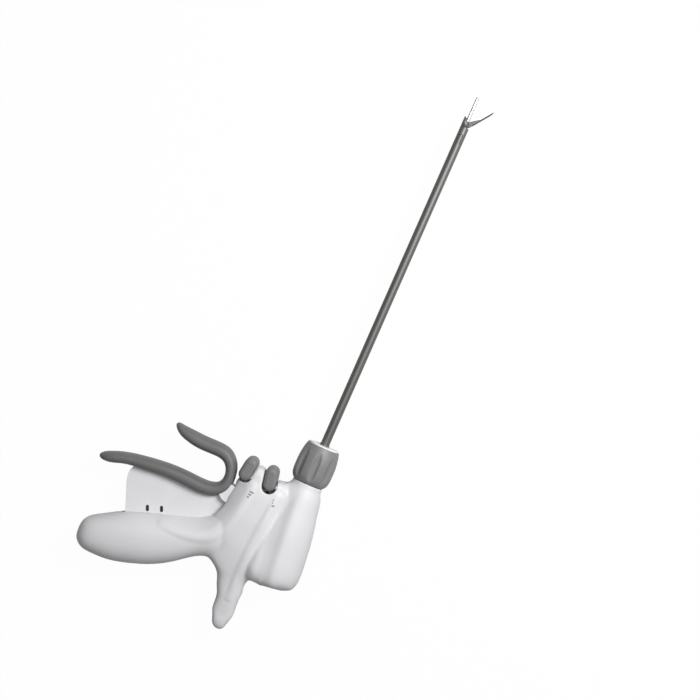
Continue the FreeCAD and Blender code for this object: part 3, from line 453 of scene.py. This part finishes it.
mark_ink = moulded("mark_ink", MARK_GREY, roughness=0.5, grain=0.0003, grain_depth=0.000004, mottle=0.08)
printed_bars("level_mark_high", (0.0474, 0.0303), math.radians(-6), HIGH_MARK_LENGTHS)
printed_bars("level_mark_low", (0.0482, 0.0146), math.radians(10), LOW_MARK_LENGTHS)

# Trigger core
# Web plate, arm and fork in one moulding, in the same white plastic as the housing but painted a
# little darker as shade under the lever. It turns on the trigger's pin, and the pins in its fork push the
# drive collar.
# Painted shade: a little darker and bluer than the housing's white.
CORE_WHITE_SHADED = (0.69, 0.69, 0.71)
core_white_shaded = moulded("core_white_shaded", CORE_WHITE_SHADED, roughness=0.50, grain=0.0005, grain_depth=0.00001,
                     mottle=0.012, edge_highlight=0.12)
dress(("trigger_core",), core_white_shaded)

# Trigger grip
# Grey elastomer, moulded over the core's arm and formed into a hook for the fingers. It is matt and
# slightly grained.
RUBBER_GREY = (0.15, 0.15, 0.148)
# Its sharp edges are made much lighter by the painted edge highlight.
rubber_grey = moulded("rubber_grey", RUBBER_GREY, roughness=0.52, grain=0.00035, grain_depth=0.00002,
                      mottle=0.05, edge_highlight=0.32)
dress(("trigger_grip",), rubber_grey)

# Web stops
# Two small near-black pieces, pressed into slots in the web plate.
STOP_BLACK = (0.012, 0.012, 0.012)
stop_black = moulded("stop_black", STOP_BLACK, roughness=0.7, grain=0.0003, grain_depth=0.00002, mottle=0.1)
dress(("web_stops",), stop_black)

# Buttons
# Two grey elastomer bars across the neck, pressed towards the switch board, one for each level.
# Small ribs moulded on their side faces give the finger a hold.
BUTTON_GREY = (0.19, 0.19, 0.188)
RIB_COUNT = 5
RIB_PITCH = 0.0019
RIB_LENGTH = 0.0042
RIB_WIDTH = 0.0006
RIB_PROUD = 0.00022
RIB_ROUNDING = 0.00012
button_grey = moulded("button_grey", BUTTON_GREY, roughness=0.55, grain=0.0003, grain_depth=0.00002,
                      mottle=0.05, edge_highlight=0.32)
dress(("button_low", "button_high"), button_grey)


def rounded(piece, width):
    """Round off a piece's edges by this width."""
    rounding = piece.modifiers.new("rounding", "BEVEL")
    rounding.width = width
    rounding.segments = 2


def button_ribs(name, node, body, turn):
    """Small raised ribs across both side faces of a button."""
    low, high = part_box(node)
    middle = (Vector(low) + Vector(high)) / 2
    along = Vector((math.cos(turn), math.sin(turn), 0))
    across = Vector((-math.sin(turn), math.cos(turn), 0))
    points = []
    faces = []
    for face_height, side in ((high[2], 1), (low[2], -1)):
        for number in range(RIB_COUNT):
            centre = middle + along * (number - (RIB_COUNT - 1) / 2) * RIB_PITCH
            first = len(points)
            for rise in (-RIB_PROUD, RIB_PROUD):
                for across_sign, along_sign in ((-1, -1), (1, -1), (1, 1), (-1, 1)):
                    corner = centre + across * across_sign * RIB_LENGTH / 2
                    corner += along * along_sign * RIB_WIDTH / 2
                    points.append((corner.x, corner.y, face_height + side * rise))
            base = [first + i for i in range(8)]
            faces.append((base[4], base[5], base[6], base[7]))
            for i in range(4):
                j = (i + 1) % 4
                faces.append((base[i], base[j], base[4 + j], base[4 + i]))
    ribs = new_piece(name, points, faces)
    ribs.data.materials.append(button_grey)
    rounded(ribs, RIB_ROUNDING)
    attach(ribs, body)


button_ribs("button_low_ribs", "button_low", "low_button", math.radians(-8))
button_ribs("button_high_ribs", "button_high", "high_button", math.radians(12))

# Knob
# Fluted grey knob that turns the shaft, with a white disc set in its front. Both are
# injection-moulded, and the knob's edges are softened by its mould.
KNOB_GREY = (0.22, 0.22, 0.218)
COLLAR_WHITE = (0.78, 0.78, 0.78)
KNOB_VOXEL = 0.0004
KNOB_PASSES = 4
knob_grey = moulded("knob_grey", KNOB_GREY, roughness=0.48, grain=0.0003, grain_depth=0.00002,
                    mottle=0.05, edge_highlight=0.32)
dress(("rotation_knob",), knob_grey)
soften("rotation_knob", KNOB_VOXEL, KNOB_PASSES)
collar_white = moulded("collar_white", COLLAR_WHITE, roughness=0.4, grain=0.0004, grain_depth=0.00001,
                       mottle=0.01)
dress(("knob_collar",), collar_white)

# Shaft tubes
# Drawn steel tubes, one sliding in the other. Their dark satin finish is brushed along their length,
# which draws the mottling out into streaks.
TUBE_STEEL = (0.150, 0.148, 0.142)
tube_steel = moulded("tube_steel", TUBE_STEEL, roughness=0.50, grain=0.0006, grain_depth=0.000004,
                     mottle=0.06, metallic=0.6, stretch=(0.04, 1.0, 1.0))
dress(("outer_tube", "inner_tube"), tube_steel)

# Yoke sleeve
# Thin steel sleeve crimped over the ears at the shaft's end. It is cut off at a slant and open on
# the side where the clamp arm swings out.
SLEEVE_RADIUS = 0.00274
SLEEVE_WALL = 0.00016
SLEEVE_START = 0.3044
SLEEVE_SHORT = 0.3065
SLEEVE_LONG = 0.3115
SLEEVE_OPEN = math.radians(48)
SLEEVE_STEPS = 44


def yoke_sleeve():
    """Open-sided sleeve about the shaft axis, whose far end slants from its short to its long side."""
    points = []
    for step in range(SLEEVE_STEPS + 1):
        angle = SLEEVE_OPEN + (2 * math.pi - 2 * SLEEVE_OPEN) * step / SLEEVE_STEPS
        y = -SLEEVE_RADIUS * math.cos(angle)
        z = SLEEVE_RADIUS * math.sin(angle)
        share = (1 - math.cos(angle)) / 2
        points.append((SLEEVE_START, y, z))
        points.append((SLEEVE_SHORT + (SLEEVE_LONG - SLEEVE_SHORT) * share, y, z))
    faces = [(2 * n, 2 * n + 1, 2 * n + 3, 2 * n + 2) for n in range(SLEEVE_STEPS)]
    sleeve = new_piece("yoke_sleeve", points, faces)
    sleeve.data.shade_smooth()
    sleeve.data.materials.append(tube_steel)
    wall = sleeve.modifiers.new("wall", "SOLIDIFY")
    wall.thickness = SLEEVE_WALL
    wall.offset = -1.0
    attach(sleeve, "shaft")


yoke_sleeve()

# Waveguide and blade
# Bright titanium rod, ground and polished, with the blade at its tip. A pin and silicone rings hold
# it in the tubes.
BLADE_BRIGHT = (0.62, 0.62, 0.62)
blade_bright = moulded("blade_bright", BLADE_BRIGHT, roughness=0.22, grain=0.0002, grain_depth=0.000008,
                       mottle=0.06, metallic=1.0, stretch=(0.2, 1.0, 1.0))
dress(("waveguide_blade",), blade_bright)

# Clamp arm
# Dark stainless arm that turns on two pins in the shaft's ears. Its two side cheeks taper from the
# pivot, and are pressed from one sheet with it.
JAW_STEEL = (0.085, 0.083, 0.080)
JAW_PIVOT = Vector((0.3066, 0.0002, 0.0))
JAW_OPEN = math.radians(36)
CHEEK_INNER = 0.00148
CHEEK_OUTER = 0.00184
CHEEK_OUTLINE = ((-0.0008, -0.0007), (0.0014, -0.00250), (0.0100, -0.00250), (0.0086, -0.0018),
                 (0.0050, -0.0006), (0.0010, 0.0007))
CHEEK_ROUNDING = 0.0001
jaw_steel = moulded("jaw_steel", JAW_STEEL, roughness=0.38, grain=0.0003, grain_depth=0.000004,
                    mottle=0.10, metallic=0.7)
dress(("clamp_arm",), jaw_steel)


def jaw_cheek(name, side):
    """One flat cheek beside the blade, drawn with the arm shut and turned open about its pivot."""
    points = []
    for depth in (CHEEK_INNER, CHEEK_OUTER):
        for x, y in CHEEK_OUTLINE:
            turned_x = x * math.cos(JAW_OPEN) + y * math.sin(JAW_OPEN)
            turned_y = y * math.cos(JAW_OPEN) - x * math.sin(JAW_OPEN)
            points.append(JAW_PIVOT + Vector((turned_x, turned_y, side * depth)))
    count = len(CHEEK_OUTLINE)
    faces = [tuple(range(count)), tuple(reversed(range(count, 2 * count)))]
    for n in range(count):
        after = (n + 1) % count
        faces.append((n, n + count, after + count, after))
    cheek = new_piece(name, points, faces)
    cheek.data.materials.append(jaw_steel)
    rounded(cheek, CHEEK_ROUNDING)
    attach(cheek, "jaw")


jaw_cheek("jaw_cheek_near", 1)
jaw_cheek("jaw_cheek_far", -1)

# Clamp pad and seals
# White fluoropolymer pad held in the arm, which presses tissue on the blade, and silicone rings on
# the waveguide, which keep it off the inner tube.
PAD_WHITE = (0.8, 0.8, 0.78)
SILICONE_GREY = (0.55, 0.55, 0.54)
pad_white = moulded("pad_white", PAD_WHITE, roughness=0.5, grain=0.0003, grain_depth=0.00001, mottle=0.02)
dress(("clamp_pad",), pad_white)
silicone = moulded("silicone", SILICONE_GREY, roughness=0.5, grain=0.0003, grain_depth=0.00001, mottle=0.04)
dress(("waveguide_seals",), silicone)

# Pins, springs and bearings
# Pins and flange turned from steel, washers and domes stamped from it and a wound return spring,
# with a bearing and a drive collar of pale acetal.
PIN_STEEL = (0.45, 0.45, 0.45)
ACETAL_WHITE = (0.6, 0.6, 0.58)
pin_steel = moulded("pin_steel", PIN_STEEL, roughness=0.3, grain=0.0002, grain_depth=0.000008,
                    mottle=0.08, metallic=1.0)
dress(("trigger_pin", "drive_pins", "waveguide_pin", "jaw_pins", "tube_flange", "limiter_spring",
       "return_spring", "dome_switches"), pin_steel)
acetal = moulded("acetal", ACETAL_WHITE, roughness=0.4, grain=0.0003, grain_depth=0.00001, mottle=0.02)
dress(("front_bearing", "drive_collar"), acetal)

# Electrical parts
# Board of green laminate that lies in a slot in the housing, behind the buttons, and a brass
# contact ring in a groove of the transducer socket.
BOARD_GREEN = (0.02, 0.09, 0.035)
CONTACT_BRASS = (0.55, 0.4, 0.16)
board_green = moulded("board_green", BOARD_GREEN, roughness=0.45, grain=0.0003, grain_depth=0.00001,
                      mottle=0.1)
dress(("switch_board",), board_green)
contact_brass = moulded("contact_brass", CONTACT_BRASS, roughness=0.3, grain=0.0002, grain_depth=0.000008,
                        mottle=0.08, metallic=1.0)
dress(("contact_ring",), contact_brass)
